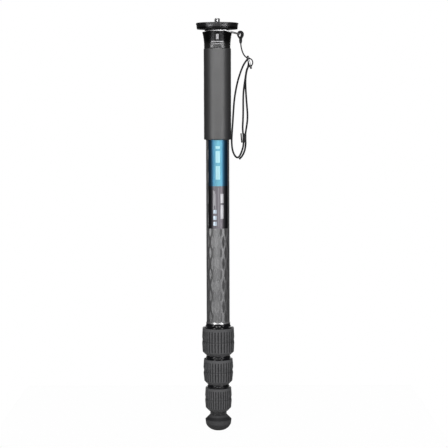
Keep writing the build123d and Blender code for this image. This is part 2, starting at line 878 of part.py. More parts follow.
# Link: a metal bar with a ball on each end and two bands of webbing wrapped round it
bar_top, bar_end = [Vector(*place) for place in link_route]
bar_way = (bar_end - bar_top).normalized()
bar_h = (bar_end - bar_top).length
bar_plane = Plane(origin=bar_top, z_dir=bar_way)
with BuildPart() as link_bar:
    with BuildSketch(bar_plane):
        Circle(bar_d / 2)
    extrude(amount=bar_h)
    with Locations(bar_top, bar_end):
        Sphere(ball_d / 2, mode=Mode.SUBTRACT)
keep(link_bar.part, "link_bar")

with BuildPart() as link_balls:
    with Locations(bar_top, bar_end):
        Sphere(ball_d / 2)
keep(link_balls.part, "link_balls")

wrap_starts = [ball_d / 2, bar_h - ball_d / 2 - wrap_h]
with BuildPart() as link_wraps:
    for wrap_start in wrap_starts:
        with BuildSketch(bar_plane.offset(wrap_start)):
            Circle(wrap_d / 2)
            Circle(bar_d / 2 + bond_gap, mode=Mode.SUBTRACT)
        extrude(amount=wrap_h)
keep(link_wraps.part, "link_wraps")

# Slider that sets the wrist loop's size: a body and a clamping lever on its left side
slider_at = between(wrist_route[-1], tail_route[0], middle_route[0], right_route[0])
with BuildPart() as slider_body:
    with Locations(slider_at):
        Box(slider_width, slider_depth, slider_h)
    fillet(edges().filter_by(Axis.Z), slider_round)
keep(slider_body.part, "slider_body")

lever_half = (lever_t * cos(radians(lever_tilt)) + lever_h * sin(radians(lever_tilt))) / 2
lever_at = slider_at - Vector(slider_width / 2 + lever_half, 0, 0)
with BuildPart() as slider_lever:
    with Locations(Location(lever_at, (0, -lever_tilt, 0))):
        Box(lever_t, lever_depth, lever_h)
    fillet(edges().filter_by(Axis.Y), lever_round)
keep(slider_lever.part, "slider_lever")
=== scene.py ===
import math

import bpy
from mathutils import Matrix, Vector


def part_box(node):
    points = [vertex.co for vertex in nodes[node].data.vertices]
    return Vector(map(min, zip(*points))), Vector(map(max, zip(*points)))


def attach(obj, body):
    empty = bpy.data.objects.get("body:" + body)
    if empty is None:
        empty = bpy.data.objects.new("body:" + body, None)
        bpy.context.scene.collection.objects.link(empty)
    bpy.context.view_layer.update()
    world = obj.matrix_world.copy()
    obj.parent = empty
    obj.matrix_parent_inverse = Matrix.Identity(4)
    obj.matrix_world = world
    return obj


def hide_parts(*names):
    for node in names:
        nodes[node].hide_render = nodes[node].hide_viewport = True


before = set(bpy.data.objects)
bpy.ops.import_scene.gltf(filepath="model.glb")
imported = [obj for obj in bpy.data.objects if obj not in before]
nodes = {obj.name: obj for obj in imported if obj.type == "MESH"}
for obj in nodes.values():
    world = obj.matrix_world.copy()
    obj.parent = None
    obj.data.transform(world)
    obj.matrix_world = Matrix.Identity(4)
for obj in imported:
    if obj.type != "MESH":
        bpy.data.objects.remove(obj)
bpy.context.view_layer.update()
bpy.ops.object.select_all(action="DESELECT")
bpy.context.scene.view_settings.view_transform = "Standard"

# Camera. The folded monopod stands upright in front of a 112.5 mm lens, at the height of the
# lower half of its grip, so the platform is seen a little from below and the foot from above.
lens_mm = 112.5
sensor_mm = 36
picture_px = 448
eye_above_middle_px = 120
pole_left_of_middle_px = 6.5
camera_reach = 2.171
eye_z = -0.1240
pole_lean = math.radians(0.16)
focal_px = lens_mm / sensor_mm * picture_px
camera_pitch = math.atan(eye_above_middle_px / focal_px)
camera_x = pole_left_of_middle_px * camera_reach * math.cos(camera_pitch) / focal_px
bpy.ops.object.camera_add(
    location=(camera_x, -camera_reach, eye_z),
    rotation=(math.pi / 2 - camera_pitch, pole_lean, 0),
)
camera = bpy.context.object
camera.name = "camera"
camera.data.lens = lens_mm
camera.data.sensor_width = sensor_mm
camera.data.clip_start = 0.05
camera.data.clip_end = 50
bpy.context.scene.camera = camera

# Wrist strap's webbing. One narrow black webbing hangs from the ring: it is sewn into a loop
# on the wire, runs on as a thin cord to the link, and from the link it makes the wrist loop
# with its two strands, its tail and the small bulge beside the link's bar.
ring_loop_route = [
    (0.0348, 0, -0.0234), (0.0330, 0, -0.0211), (0.0316, 0, -0.0182), (0.0320, 0, -0.0150),
    (0.0342, 0, -0.0130), (0.0373, 0, -0.0131), (0.0394, 0, -0.0154), (0.0395, 0, -0.0185),
    (0.0384, 0, -0.0212), (0.0369, 0, -0.0234),
]
inner_turn_route = [
    (0.0338, 0, -0.0149), (0.0352, 0, -0.0143), (0.0366, 0, -0.0150), (0.0372, 0, -0.0166),
    (0.0372, 0, -0.0186), (0.0364, 0, -0.0206), (0.0358, 0, -0.0230),
]
upper_cord_route = [
    (0.0360, 0, -0.0261), (0.0360, 0, -0.0301), (0.0362, 0.0001, -0.0329),
    (0.0367, 0.0002, -0.0368), (0.0377, 0.0002, -0.0410), (0.0391, 0.0002, -0.0451),
    (0.0409, 0.0001, -0.0487), (0.0431, 0, -0.0513), (0.0451, 0, -0.0529),
    (0.0468, 0, -0.0541),
]
wrist_route = [
    (0.0460, 0, -0.0556), (0.0439, -0.0006, -0.0584), (0.0410, -0.0016, -0.0628),
    (0.0383, -0.0025, -0.0682), (0.0352, -0.0041, -0.0764), (0.0317, -0.0058, -0.0871),
    (0.0285, -0.0076, -0.1011), (0.0258, -0.0088, -0.1176), (0.0245, -0.0096, -0.1351),
    (0.0235, -0.0100, -0.1517), (0.0223, -0.0101, -0.1674), (0.0216, -0.0100, -0.1801),
    (0.0221, -0.0097, -0.1904), (0.0237, -0.0092, -0.1978), (0.0262, -0.0084, -0.2031),
    (0.0292, -0.0075, -0.2065), (0.0324, -0.0065, -0.2063), (0.0351, -0.0055, -0.2023),
    (0.0374, -0.0044, -0.1968), (0.0392, -0.0033, -0.1911), (0.0401, -0.0024, -0.1858),
    (0.0401, -0.0020, -0.1821),
]
tail_route = [
    (0.0434, -0.0020, -0.1821), (0.0434, -0.0024, -0.1858), (0.0429, -0.0032, -0.1907),
    (0.0418, -0.0041, -0.1958), (0.0397, -0.0051, -0.2011), (0.0367, -0.0061, -0.2059),
    (0.0335, -0.0071, -0.2090),
]
middle_route = [
    (0.0395, -0.0020, -0.1707), (0.0390, -0.0021, -0.1659), (0.0387, -0.0020, -0.1590),
    (0.0393, -0.0019, -0.1493), (0.0397, -0.0018, -0.1351), (0.0396, -0.0017, -0.1195),
    (0.0400, -0.0016, -0.1059), (0.0415, -0.0016, -0.0938), (0.0431, -0.0017, -0.0836),
    (0.0443, -0.0017, -0.0759), (0.0453, -0.0014, -0.0713), (0.0467, -0.0009, -0.0682),
    (0.0487, -0.0003, -0.0659),
]
right_route = [
    (0.0431, -0.0020, -0.1707), (0.0437, -0.0018, -0.1656), (0.0450, -0.0012, -0.1581),
    (0.0462, -0.0004, -0.1493), (0.0464, 0.0003, -0.1405), (0.0458, 0.0009, -0.1312),
    (0.0448, 0.0013, -0.1195), (0.0439, 0.0016, -0.1059), (0.0433, 0.0017, -0.0938),
    (0.0435, 0.0018, -0.0836), (0.0445, 0.0019, -0.0764), (0.0458, 0.0026, -0.0711),
    (0.0473, 0.0035, -0.0670), (0.0481, 0.0038, -0.0634), (0.0481, 0.0039, -0.0597),
    (0.0478, 0.0034, -0.0569), (0.0478, 0.0022, -0.0550),
]
side_loop_route = [
    (0.0498, 0, -0.0541), (0.0522, 0.0002, -0.0551), (0.0540, 0.0003, -0.0574),
    (0.0546, 0.0003, -0.0603), (0.0542, 0.0002, -0.0630), (0.0528, 0, -0.0649),
]
strap_body = "wrist_strap"
web_width = 0.0028
web_thickness = 0.0018
cord_width = 0.0020
loop_width = 0.0042
loop_thickness = 0.0030
inner_turn_thickness = 0.0026
strap_facing = Vector((0, -1, 0))
line_order, line_steps = 3, 10
selvedge_power = 0.6
merged_within = 0.000005
millimetres = 1000
first_colour, second_colour = 6, 7


def spline_line(route):
    """The points of a smooth NURBS line that the route's points control."""
    curve = bpy.data.curves.new("line", "CURVE")
    curve.dimensions = "3D"
    spline = curve.splines.new("NURBS")
    spline.points.add(len(route) - 1)
    for point, place in zip(spline.points, route):
        point.co = (*place, 1)
    spline.order_u = line_order
    spline.use_endpoint_u = True
    spline.resolution_u = line_steps
    line_object = bpy.data.objects.new("line", curve)
    bpy.context.scene.collection.objects.link(line_object)
    bpy.context.view_layer.update()
    line_mesh = bpy.data.meshes.new_from_object(line_object)
    line = [vertex.co.copy() for vertex in line_mesh.vertices]
    bpy.data.objects.remove(line_object)
    bpy.data.meshes.remove(line_mesh)
    return line


def picked(piece):
    """Makes the piece the only selected and active object."""
    bpy.ops.object.select_all(action="DESELECT")
    piece.select_set(True)
    bpy.context.view_layer.objects.active = piece


def joined(pieces):
    """Joins the pieces into the first of them."""
    picked(pieces[0])
    for piece in pieces:
        piece.select_set(True)
    bpy.ops.object.join()
    return pieces[0]


def closed_shell(piece, angle):
    """Merges what lies on itself, points every face outwards and shades the piece smooth
    where its faces meet at less than that angle in degrees."""
    picked(piece)
    bpy.ops.object.mode_set(mode="EDIT")
    bpy.ops.mesh.select_all(action="SELECT")
    bpy.ops.mesh.remove_doubles(threshold=merged_within)
    bpy.ops.mesh.normals_make_consistent(inside=False)
    bpy.ops.object.mode_set(mode="OBJECT")
    bpy.ops.object.shade_smooth_by_angle(angle=math.radians(angle))
    return piece


def webbing(name, line, width, thickness, facing=None, sides=16):
    """A flat woven band swept along the line. Its flat side is turned to the facing direction,
    or its width lies along Y."""
    vertices, faces, uvs = [], [], []
    run = 0.0
    for i, place in enumerate(line):
        ahead = line[min(i + 1, len(line) - 1)] - line[max(i - 1, 0)]
        along = ahead.normalized()
        across = along.cross(facing).normalized() if facing else Vector((0, 1, 0))
        out = across.cross(along).normalized()
        run += (place - line[i - 1]).length if i else 0.0
        for k in range(sides):
            turn = 2 * math.pi * k / sides
            # a superellipse: flat faces with full, rounded selvedges
            c, s = math.cos(turn), math.sin(turn)
            x = math.copysign(abs(c) ** selvedge_power, c) * width / 2
            y = math.copysign(abs(s) ** selvedge_power, s) * thickness / 2
            vertices.append(place + across * x + out * y)
            uvs.append((k / sides, run * millimetres))
    for i in range(len(line) - 1):
        for k in range(sides):
            a, b = i * sides + k, i * sides + (k + 1) % sides
            faces.append((a, b, b + sides, a + sides))
    faces.append(tuple(reversed(range(sides))))
    faces.append(tuple(len(vertices) - sides + k for k in range(sides)))
    mesh = bpy.data.meshes.new(name)
    mesh.from_pydata(vertices, [], faces)
    layer = mesh.uv_layers.new(name="along")
    for polygon in mesh.polygons:
        for loop_index, vertex_index in zip(polygon.loop_indices, polygon.vertices):
            u, v = uvs[vertex_index]
            wraps = u == 0 and any(uvs[other][0] > 0.5 for other in polygon.vertices)
            layer.data[loop_index].uv = (1.0 if wraps else u, v)
    band = bpy.data.objects.new(name, mesh)
    bpy.context.scene.collection.objects.link(band)
    return closed_shell(band, angle=50)


def new_material(name, roughness, metallic=0.0, specular=0.5):
    """A node material, and its tree and Principled shader."""
    material = bpy.data.materials.new(name)
    material.use_nodes = True
    shader = material.node_tree.nodes["Principled BSDF"]
    shader.inputs["Roughness"].default_value = roughness
    shader.inputs["Metallic"].default_value = metallic
    shader.inputs["Specular IOR Level"].default_value = specular
    return material, material.node_tree, shader


def fill(tree, socket, value):
    """Links the value to the socket, or sets it there."""
    if isinstance(value, bpy.types.NodeSocket):
        tree.links.new(value, socket)
    else:
        socket.default_value = value


def placed(tree, kind, **inputs):
    """A new node with some of its inputs set or linked."""
    node = tree.nodes.new(kind)
    for key, value in inputs.items():
        fill(tree, node.inputs[key.replace("_", " ")], value)
    return node


def maths(tree, operation, *values):
    """The result of a Math node."""
    node = tree.nodes.new("ShaderNodeMath")
    node.operation = operation
    for socket, value in zip(node.inputs, values):
        fill(tree, socket, value)
    return node.outputs[0]


def toned(tree, mask, dark, light):
    """A colour between the two, by the mask."""
    node = tree.nodes.new("ShaderNodeMix")
    node.data_type = "RGBA"
    for k, value in ((0, mask), (first_colour, dark), (second_colour, light)):
        fill(tree, node.inputs[k], (*value, 1) if isinstance(value, tuple) else value)
    return node.outputs[2]


def waved(tree, value, spacing):
    """A sine wave along the value, with that spacing."""
    return maths(tree, "SINE", maths(tree, "MULTIPLY", value, 2 * math.pi / spacing))


def interlaced(tree, warp, weft):
    """1 where two waves go the same way and 0 where they go against each other, as in a weave."""
    return maths(tree, "MULTIPLY_ADD", maths(tree, "MULTIPLY", warp, weft), 0.5, 0.5)


def painted(tree, shader, mask, dark, light):
    """Gives the shader a colour between the two, by the mask."""
    tree.links.new(toned(tree, mask, dark, light), shader.inputs["Base Color"])


def patchy(tree, shader, pattern, spread):
    """Spreads the shader's roughness round its own value by a pattern from 0 to 1."""
    lowest = shader.inputs["Roughness"].default_value - spread / 2
    rough = maths(tree, "MULTIPLY_ADD", pattern, spread, lowest)
    tree.links.new(rough, shader.inputs["Roughness"])


def bumped(tree, shader, height, distance, strength, normal=None):
    """Gives the shader a bump that is as deep as the distance in metres where the height is 1."""
    bump = placed(tree, "ShaderNodeBump", Strength=strength, Distance=distance, Height=height)
    if normal:
        tree.links.new(normal, bump.inputs["Normal"])
    tree.links.new(bump.outputs[0], shader.inputs["Normal"])


def wear(piece, material):
    """Gives the whole piece one material."""
    piece.data.materials.clear()
    piece.data.materials.append(material)


# fine yarns over and under each other, from the band's own length and width
yarns_round = 10
pick_mm = 0.8
pick_slant_mm = 8.0
black_webbing, tree, shader = new_material("black_webbing", roughness=0.75, specular=0.2)
shader.inputs["Sheen Weight"].default_value = 0.04
uv = tree.nodes.new("ShaderNodeUVMap")
uv.uv_map = "along"
split = placed(tree, "ShaderNodeSeparateXYZ", Vector=uv.outputs[0])
yarn = waved(tree, split.outputs[0], 1 / yarns_round)
zigzag = maths(tree, "PINGPONG", split.outputs[0], 0.25)
lift = maths(tree, "MULTIPLY_ADD", zigzag, pick_slant_mm, split.outputs[1])
woven = interlaced(tree, yarn, waved(tree, lift, pick_mm))
painted(tree, shader, woven, dark=(0.004, 0.004, 0.005), light=(0.016, 0.016, 0.018))
bumped(tree, shader, woven, distance=0.00015, strength=0.5)

ring_line, inner_line = spline_line(ring_loop_route), spline_line(inner_turn_route)
ring_loop = webbing("ring_loop", ring_line, loop_width, loop_thickness)
inner_turn = webbing("inner_turn", inner_line, loop_width, inner_turn_thickness)
joined([ring_loop, inner_turn])
upper_line = spline_line(upper_cord_route)
upper_cord = webbing("upper_cord", upper_line, cord_width, cord_width)
wrist_line = spline_line(wrist_route)
wrist_band = webbing("wrist_band", wrist_line, web_width, web_thickness, strap_facing)
tail_line = spline_line(tail_route)
tail_band = webbing("tail_band", tail_line, web_width, web_thickness, strap_facing)
middle_line = spline_line(middle_route)
middle_band = webbing("middle_band", middle_line, web_width, web_thickness, strap_facing)
right_line = spline_line(right_route)
right_band = webbing("right_band", right_line, web_width, web_thickness, strap_facing)
side_line = spline_line(side_loop_route)
side_band = webbing("side_band", side_line, web_width, web_thickness)
for band, node in (
    (ring_loop, "strap_ring_loop"), (upper_cord, "strap_cord"), (wrist_band, "wrist_loop"),
    (tail_band, "wrist_tail"), (middle_band, "wrist_middle"), (right_band, "wrist_right"),
    (side_band, "link_side_loop"),
):
    wear(band, black_webbing)
    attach(band, strap_body)
    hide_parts(node)

# Room. A pale floor under the foot and a white room behind it, which the camera and mirror-like
# surfaces see as plain white. Two key lamps hang high in front. Two bright upright strips,
# which lean towards each other at the foot, stand beside a dim screen. A soft lamp lights the back.
floor_size = 0.7
backdrop_from, backdrop_to = 0.15, 0.35
far_wall_from, far_wall_to = 0.92, 1.0
background_share = 0.985
white = (1, 1, 1, 1)
lamps_aim = Vector((0, 0, -0.3))
foot_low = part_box("rubber_foot")[0]
bpy.ops.mesh.primitive_plane_add(size=floor_size, location=(0, 0, foot_low.z))
floor = bpy.context.object
floor.name = "floor"
pale_floor, tree, shader = new_material("pale_floor", roughness=0.9)
shader.inputs["Base Color"].default_value = (0.85, 0.85, 0.85, 1)


def stepped(tree, value, low, high):
    """Rises smoothly from 0 to 1 as the value goes from low to high."""
    node = placed(tree, "ShaderNodeMapRange", Value=value, From_Min=low, From_Max=high)
    node.interpolation_type = "SMOOTHSTEP"
    return node.outputs[0]


def place_parts(tree, space="Object"):
    """The X, Y and Z of the place, in the piece's own space or another."""
    where = tree.nodes.new("ShaderNodeTexCoord")
    return placed(tree, "ShaderNodeSeparateXYZ", Vector=where.outputs[space]).outputs


def mirrored_background(tree, far):
    """1 for the rays that see the plain white background through glass, and for the mirrored
    ones that go to its far side."""
    seen = tree.nodes.new("ShaderNodeLightPath")
    mirrored = maths(tree, "MULTIPLY", seen.outputs["Is Glossy Ray"], far)
    return maths(tree, "MAXIMUM", mirrored, seen.outputs["Is Transmission Ray"])


def mixed(tree, share, first, second):
    """A shader between the two, by the second one's share."""
    both = tree.nodes.new("ShaderNodeMixShader")
    for socket, value in zip(both.inputs, (share, first, second)):
        tree.links.new(value, socket)
    return both.outputs[0]


behind = stepped(tree, place_parts(tree)["Y"], backdrop_from, backdrop_to)
glow = placed(tree, "ShaderNodeEmission", Color=white, Strength=1.0)
glowing = maths(tree, "MULTIPLY", mirrored_background(tree, behind), background_share)
lit = mixed(tree, glowing, shader.outputs[0], glow.outputs[0])
# the camera sees the white room, and a leg drawn out below the floor, through most of it
clear = tree.nodes.new("ShaderNodeBsdfTransparent")
direct = tree.nodes.new("ShaderNodeLightPath")
through = maths(tree, "MULTIPLY", direct.outputs["Is Camera Ray"], background_share)
seen_floor = mixed(tree, through, lit, clear.outputs[0])
tree.links.new(seen_floor, tree.nodes["Material Output"].inputs["Surface"])
wear(floor, pale_floor)

world = bpy.data.worlds.new("room")
bpy.context.scene.world = world
world.use_nodes = True
tree = world.node_tree
dim_room = tree.nodes["Background"]
dim_room.inputs["Color"].default_value = white
dim_room.inputs["Strength"].default_value = 0.08
white_room = placed(tree, "ShaderNodeBackground", Color=white, Strength=1.0)
behind = stepped(tree, place_parts(tree, "Generated")["Y"], far_wall_from, far_wall_to)
direct = tree.nodes.new("ShaderNodeLightPath")
seen = maths(tree, "MAXIMUM", direct.outputs["Is Camera Ray"], mirrored_background(tree, behind))
seen_room = mixed(tree, seen, dim_room.outputs[0], white_room.outputs[0])
tree.links.new(seen_room, tree.nodes["World Output"].inputs["Surface"])

# each lamp by the middles of its top and bottom edge, its width, and its watts on each square metre
for lamp_name, top, bottom, wide, level in (
    ("left_key", (-0.543, -1.894, 1.39), (-0.670, -2.336, 0.61), 0.6, 46.0),
    ("right_key", (0.543, -1.894, 1.39), (0.670, -2.336, 0.61), 0.6, 46.0),
    ("front_screen", (0, -2.6, 1.30), (0, -2.6, -1.40), 2.4, 1.2),
    ("left_strip", (-2.070, -1.400, 0.60), (-1.100, -2.245, -1.30), 0.35, 20.0),
    ("right_strip", (2.070, -1.400, 0.60), (1.100, -2.245, -1.30), 0.35, 20.0),
    ("back_lamp", (0.2, 2.4, 1.30), (0.2, 2.4, -0.30), 1.4, 5.5),
):
    upright = Vector(top) - Vector(bottom)
    middle = (Vector(top) + Vector(bottom)) / 2
    away = middle - lamps_aim
    across = upright.cross(away).normalized()
    turned_to = Matrix((across, upright.normalized(), across.cross(upright).normalized()))
    bpy.ops.object.light_add(
        type="AREA", location=middle, rotation=turned_to.transposed().to_euler()
    )
    lamp = bpy.context.object
    lamp.name = lamp_name
    lamp.data.shape = "RECTANGLE"
    lamp.data.size = wide
    lamp.data.size_y = upright.length
    lamp.data.energy = level * wide * upright.length

# Camera platform. A disc turned from aluminium and anodised black, with a slightly wider rim
# where a camera sits. It is clamped on the collar by the flange of the stud.
ring_spacing_mm = 0.35
rubbed_width = 0.0003


def grain_of(tree, scale, detail):
    """Fine noise fixed in the piece, from 0 to 1."""
    where = tree.nodes.new("ShaderNodeTexCoord")
    noise = placed(
        tree, "ShaderNodeTexNoise", Vector=where.outputs["Object"], Scale=scale, Detail=detail
    )
    return noise.outputs[0]


def value_group(name, outputs, **inputs):
    """A node group that puts out single values, with the usual value of each input."""
    group = bpy.data.node_groups.new(name, "ShaderNodeTree")
    for key, usual in inputs.items():
        socket = group.interface.new_socket(name=key, in_out="INPUT", socket_type="NodeSocketFloat")
        socket.default_value = usual
    for key in outputs:
        group.interface.new_socket(name=key, in_out="OUTPUT", socket_type="NodeSocketFloat")
    return group


def build_pole_places():
    """Places round the pole: degrees from the front, positive to the right, and millimetres."""
    group = value_group("places round the pole", ("Turn", "Height", "Reach", "Arc"))
    end = group.nodes.new("NodeGroupOutput")
    x, y, z = place_parts(group)
    forward = maths(group, "MULTIPLY", y, -1.0)
    turn = maths(group, "DEGREES", maths(group, "ARCTAN2", x, forward))
    squares = maths(group, "ADD", maths(group, "MULTIPLY", x, x), maths(group, "MULTIPLY", y, y))
    reach = maths(group, "MULTIPLY", maths(group, "SQRT", squares), millimetres)
    group.links.new(turn, end.inputs["Turn"])
    group.links.new(maths(group, "MULTIPLY", z, millimetres), end.inputs["Height"])
    group.links.new(reach, end.inputs["Reach"])
    arc = maths(group, "MULTIPLY", maths(group, "RADIANS", turn), reach)
    group.links.new(arc, end.inputs["Arc"])
    return group


def build_lathe_rings():
    """Fine rings that a lathe leaves round the pole, and the patches where they are duller."""
    patch_height = 0.6
    group = value_group("lathe rings", ("Height", "Patches"), Spacing=ring_spacing_mm)
    start, end = group.nodes.new("NodeGroupInput"), group.nodes.new("NodeGroupOutput")
    round_pole = group.nodes.new("ShaderNodeGroup")
    round_pole.node_tree = pole_places
    run = maths(group, "ADD", round_pole.outputs["Height"], round_pole.outputs["Reach"])
    wave = waved(group, maths(group, "DIVIDE", run, start.outputs[0]), 1)
    patch = grain_of(group, scale=110.0, detail=4.0)
    height = maths(group, "MULTIPLY_ADD", patch, patch_height, wave)
    group.links.new(height, end.inputs["Height"])
    group.links.new(patch, end.inputs["Patches"])
    return group


def vector_maths(tree, operation, *values):
    """A new Vector Math node."""
    node = tree.nodes.new("ShaderNodeVectorMath")
    node.operation = operation
    for socket, value in zip(node.inputs, values):
        fill(tree, socket, value)
    return node


def build_worn_edges():
    """The edges of a piece that hands have rubbed, broken up along their length."""
    sharp_from, sharp_to = 0.02, 0.2
    kept_from, kept_to = 0.35, 0.7
    group = value_group("worn edges", ("Mask",), Width=rubbed_width)
    start, end = group.nodes.new("NodeGroupInput"), group.nodes.new("NodeGroupOutput")
    rounded = placed(group, "ShaderNodeBevel", Radius=start.outputs[0])
    rounded.samples = 4
    straight = group.nodes.new("ShaderNodeNewGeometry").outputs["Normal"]
    alike = vector_maths(group, "DOT_PRODUCT", rounded.outputs[0], straight)
    broken = grain_of(group, scale=400.0, detail=3.0)
    sharpness = maths(group, "SUBTRACT", 1.0, alike.outputs["Value"])
    edge = stepped(group, sharpness, sharp_from, sharp_to)
    kept = stepped(group, broken, kept_from, kept_to)
    group.links.new(maths(group, "MULTIPLY", edge, kept), end.inputs["Mask"])
    return group


pole_places = build_pole_places()
lathe_rings = build_lathe_rings()
worn_edges = build_worn_edges()


def grouped(tree, group, **inputs):
    """A node group placed in a material."""
    node = tree.nodes.new("ShaderNodeGroup")
    node.node_tree = group
    for key, value in inputs.items():
        fill(tree, node.inputs[key], value)
    return node


def turned_metal(
    name, colour, worn, roughness, metallic=1.0, specular=0.5,
    rings=0.3, spacing=ring_spacing_mm, lower_part=None,
):
    """Metal from the lathe, duller in patches and rubbed at its edges. The rings are as clear
    as the rings value and lie as far apart as the spacing in millimetres. A lower part is
    given by its colour, the height of its top in millimetres and how softly it begins."""
    material, tree, shader = new_material(name, roughness, metallic, specular)
    if lower_part:
        lower_colour, top, soft = lower_part
        height = grouped(tree, pole_places).outputs["Height"]
        colour = toned(tree, stepped(tree, height, top - soft, top + soft), lower_colour, colour)
    lathe = grouped(tree, lathe_rings, Spacing=spacing)
    edges = grouped(tree, worn_edges, Width=rubbed_width)
    painted(tree, shader, edges.outputs["Mask"], dark=colour, light=worn)
    patchy(tree, shader, lathe.outputs["Patches"], spread=0.12)
    bumped(tree, shader, lathe.outputs["Height"], distance=0.00002, strength=rings)
    return material


black_anodised = turned_metal(
    "black_anodised", colour=(0.006, 0.006, 0.007), worn=(0.04, 0.04, 0.042),
    roughness=0.28, metallic=0.0, specular=0.55,
)

# the rim is painted paler than the band under it, as a painted highlight
rim_highlight_grey, band_grey = (0.09, 0.09, 0.092), (0.020, 0.020, 0.021)
rim_low_mm, rim_soft_mm = -6.3, 0.6
platform_anodised = turned_metal(
    "platform_anodised", colour=rim_highlight_grey, worn=(0.14, 0.14, 0.14), roughness=0.27,
    lower_part=(band_grey, rim_low_mm, rim_soft_mm),
)
tree = platform_anodised.node_tree
shader = tree.nodes["Principled BSDF"]
# the underside is blasted, so it doesn't mirror the room
blasted_roughness = 0.9
slope_from, slope_to = -0.80, -0.95
facing = tree.nodes.new("ShaderNodeNewGeometry")
split = placed(tree, "ShaderNodeSeparateXYZ", Vector=facing.outputs["Normal"])
blasted = stepped(tree, split.outputs[2], slope_from, slope_to)
turned_roughness = shader.inputs["Roughness"].links[0].from_socket
blasted_part = maths(tree, "MULTIPLY", blasted, blasted_roughness)
rougher = maths(tree, "MAXIMUM", blasted_part, turned_roughness)
tree.links.new(rougher, shader.inputs["Roughness"])
tree.links.new(maths(tree, "SUBTRACT", 1.0, blasted), shader.inputs["Metallic"])
wear(nodes["camera_platform"], platform_anodised)

# Grub screws. Three blackened steel screws that are turned up through the platform to bite into
# the base of a tripod head. They sit below its top face.
blackened_steel = turned_metal(
    "blackened_steel", colour=(0.05, 0.05, 0.055), worn=(0.2, 0.2, 0.2), roughness=0.4,
    metallic=0.9, spacing=0.5,
)
wear(nodes["platform_screws"], blackened_steel)

# Camera stud. A steel screw with a coarse thread for a camera head above its flange and a finer
# one below, so that it can be turned over. The flange is held between platform and collar.
inch = 0.0254
stud_low, stud_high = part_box("camera_stud")
stud_reach = 3 / 8 * inch / 2
stud_pitch = inch / 16
small_stud_reach = 1 / 4 * inch / 2
small_stud_pitch = inch / 20
stud_flange_reach = 0.008
stud_flange_low, stud_flange_high = -0.0044, -0.002
stud_end_share, stud_end_taper = 0.86, 0.0008
small_end_share, small_end_taper = 0.8, 0.0006
thread_depth_share = 0.55
crest_share, root_share = 0.14, 0.92
root_sunk = 0.0003
thread_margin, small_thread_margin = 0.0002, 0.0003
thread_steps = 40


def turned(name, steps, sides=64):
    """A solid turned piece, drawn up from its first step of radius and height to its last."""
    bpy.ops.object.select_all(action="DESELECT")
    reach, height = steps[0]
    bpy.ops.mesh.primitive_circle_add(
        vertices=sides, radius=reach, fill_type="NGON", location=(0, 0, height)
    )
    piece = bpy.context.object
    piece.name = name
    bpy.ops.object.transform_apply(location=True)
    bpy.ops.object.mode_set(mode="EDIT")
    bpy.ops.mesh.select_all(action="SELECT")
    for next_reach, next_height in steps[1:]:
        bpy.ops.mesh.extrude_region_move(
            TRANSFORM_OT_translate={"value": (0, 0, next_height - height)}
        )
        grown = next_reach / reach
        bpy.ops.transform.resize(value=(grown, grown, 1), center_override=(0, 0, next_height))
        reach, height = next_reach, next_height
    bpy.ops.object.mode_set(mode="OBJECT")
    return piece


def thread_ridge(name, reach, pitch, low, high):
    """The ridge of a screw thread, wound round the Z axis between two heights."""
    deep = thread_depth_share * pitch
    bpy.ops.object.select_all(action="DESELECT")
    bpy.ops.mesh.primitive_plane_add(size=1, rotation=(math.pi / 2, 0, 0))
    ridge = bpy.context.object
    ridge.name = name
    bpy.ops.object.transform_apply(rotation=True)
    for vertex in ridge.data.vertices:
        outer = vertex.co.x > 0
        vertex.co.x = reach if outer else reach - deep - root_sunk
        vertex.co.z *= pitch * (crest_share if outer else root_share)
        vertex.co.z += low + pitch / 2
    screw = ridge.modifiers.new("thread", "SCREW")
    screw.axis = "Z"
    screw.screw_offset = pitch
    screw.iterations = int((high - low - pitch) / pitch)
    screw.steps = screw.render_steps = thread_steps
    screw.use_merge_vertices = False
    bpy.ops.object.modifier_apply(modifier=screw.name)
    bpy.ops.object.mode_set(mode="EDIT")
    bpy.ops.mesh.select_all(action="SELECT")
    bpy.ops.mesh.fill_holes(sides=4)
    bpy.ops.object.mode_set(mode="OBJECT")
    return ridge


core_reach = stud_reach - thread_depth_share * stud_pitch
small_core_reach = small_stud_reach - thread_depth_share * small_stud_pitch
threaded_stud = turned("threaded_stud", [
    (small_core_reach * small_end_share, stud_low.z),
    (small_core_reach, stud_low.z + small_end_taper),
    (small_core_reach, stud_flange_low),
    (stud_flange_reach, stud_flange_low),
    (stud_flange_reach, stud_flange_high),
    (core_reach, stud_flange_high),
    (core_reach, stud_high.z - stud_end_taper),
    (core_reach * stud_end_share, stud_high.z),
])
stud_ridges = [
    thread_ridge(
        "stud_ridge", stud_reach, stud_pitch,
        low=thread_margin, high=stud_high.z - thread_margin,
    ),
    thread_ridge(
        "small_stud_ridge", small_stud_reach, small_stud_pitch,
        low=stud_low.z + small_thread_margin, high=stud_flange_low,
    ),
]
closed_shell(joined([threaded_stud, *stud_ridges]), angle=35)
bright_steel = turned_metal(
    "bright_steel", colour=(0.5, 0.5, 0.51), worn=(0.7, 0.7, 0.7), roughness=0.24, rings=0.1
)
wear(threaded_stud, bright_steel)
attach(threaded_stud, "upper_leg")
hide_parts("camera_stud")

# Top collar. A turned and anodised aluminium piece, glued on the first tube, with a neck for
# the strap's ring. Its skirt is silkier than the platform and carries plain printed bars.
# the lower end's paler grey is a painted highlight
flare_grey, lower_end_highlight_grey = (0.026, 0.026, 0.027), (0.14, 0.14, 0.142)
flare_low_mm, flare_soft_mm = -31.0, 5.0
print_pale = (0.40, 0.40, 0.41)


def within(tree, value, low, high, soft=0.15):
    """1 where the value lies between the two, with soft ends."""
    rise = stepped(tree, value, low - soft, low + soft)
    fall = stepped(tree, value, high - soft, high + soft)
    return maths(tree, "MULTIPLY", rise, maths(tree, "SUBTRACT", 1.0, fall))


